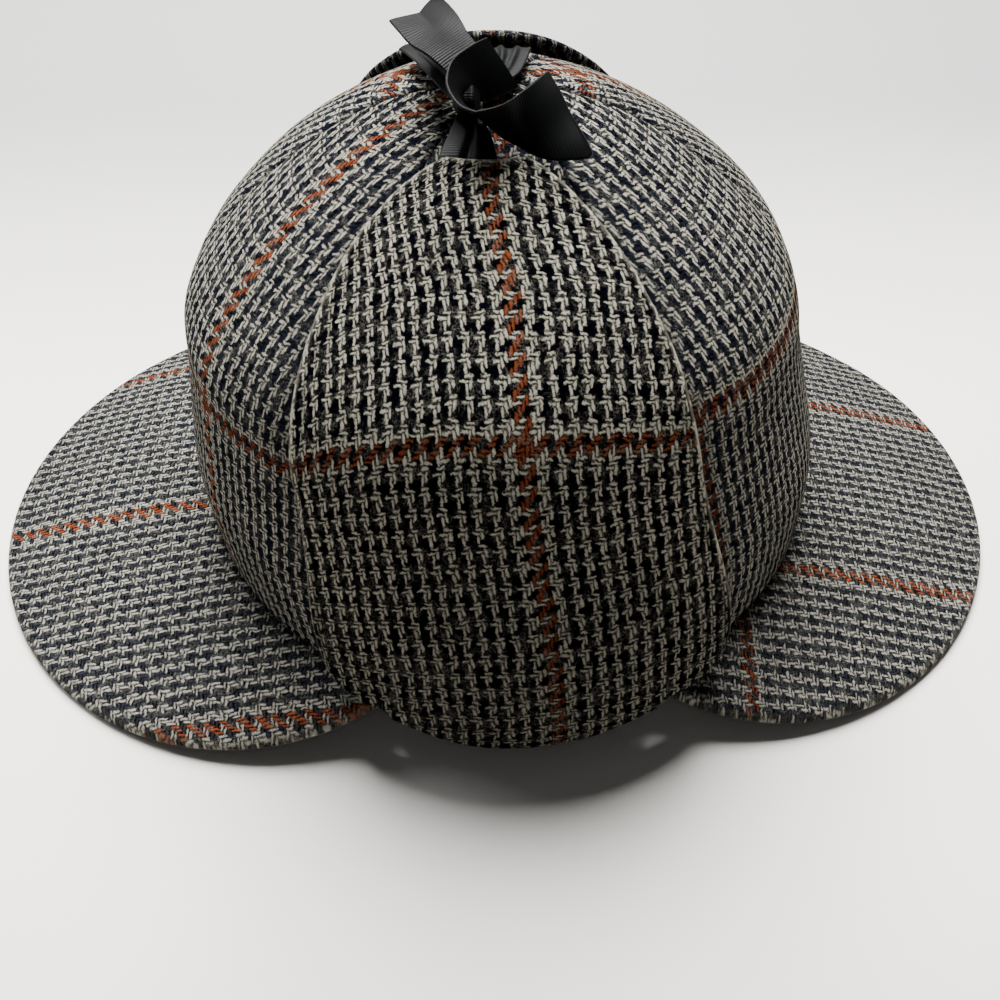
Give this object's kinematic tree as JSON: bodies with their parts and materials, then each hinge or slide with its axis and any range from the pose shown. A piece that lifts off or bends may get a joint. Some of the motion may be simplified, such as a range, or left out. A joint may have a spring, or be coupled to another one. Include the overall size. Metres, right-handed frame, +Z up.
{
  "type": "deerstalker hat",
  "caption": "Tweed deerstalker hat with a hollow gored crown, a sloping peak at the front and back, and ear flaps folded up and tied over the top with a ribbon bow.",
  "frame": {"origin": "middle of the hat's footprint, on the surface that it rests on", "axes": "+Z up, -X towards the front peak, -Y towards the wearer's left ear"},
  "size_m": [0.3254, 0.211, 0.1669],
  "materials": {
    "tweed": "Woolly twill tweed in cream and dark navy small checks, with a thin rust overcheck.",
    "ribbon": "Black ribbed grosgrain ribbon with a soft grey sheen."
  },
  "bodies": {
    "root": {"crown_gore_1": "tweed", "crown_gore_2": "tweed", "crown_gore_3": "tweed", "crown_gore_4": "tweed", "crown_gore_5": "tweed", "crown_gore_6": "tweed", "front_peak": "tweed", "back_peak": "tweed", "left_ear_flap": "tweed", "right_ear_flap": "tweed", "left_tie": "ribbon", "right_tie": "ribbon", "bow_knot": "ribbon", "bow_loop_front": "ribbon", "bow_loop_back": "ribbon", "bow_tail_front": "ribbon", "bow_tail_back": "ribbon"}
  },
  "joints": []
}
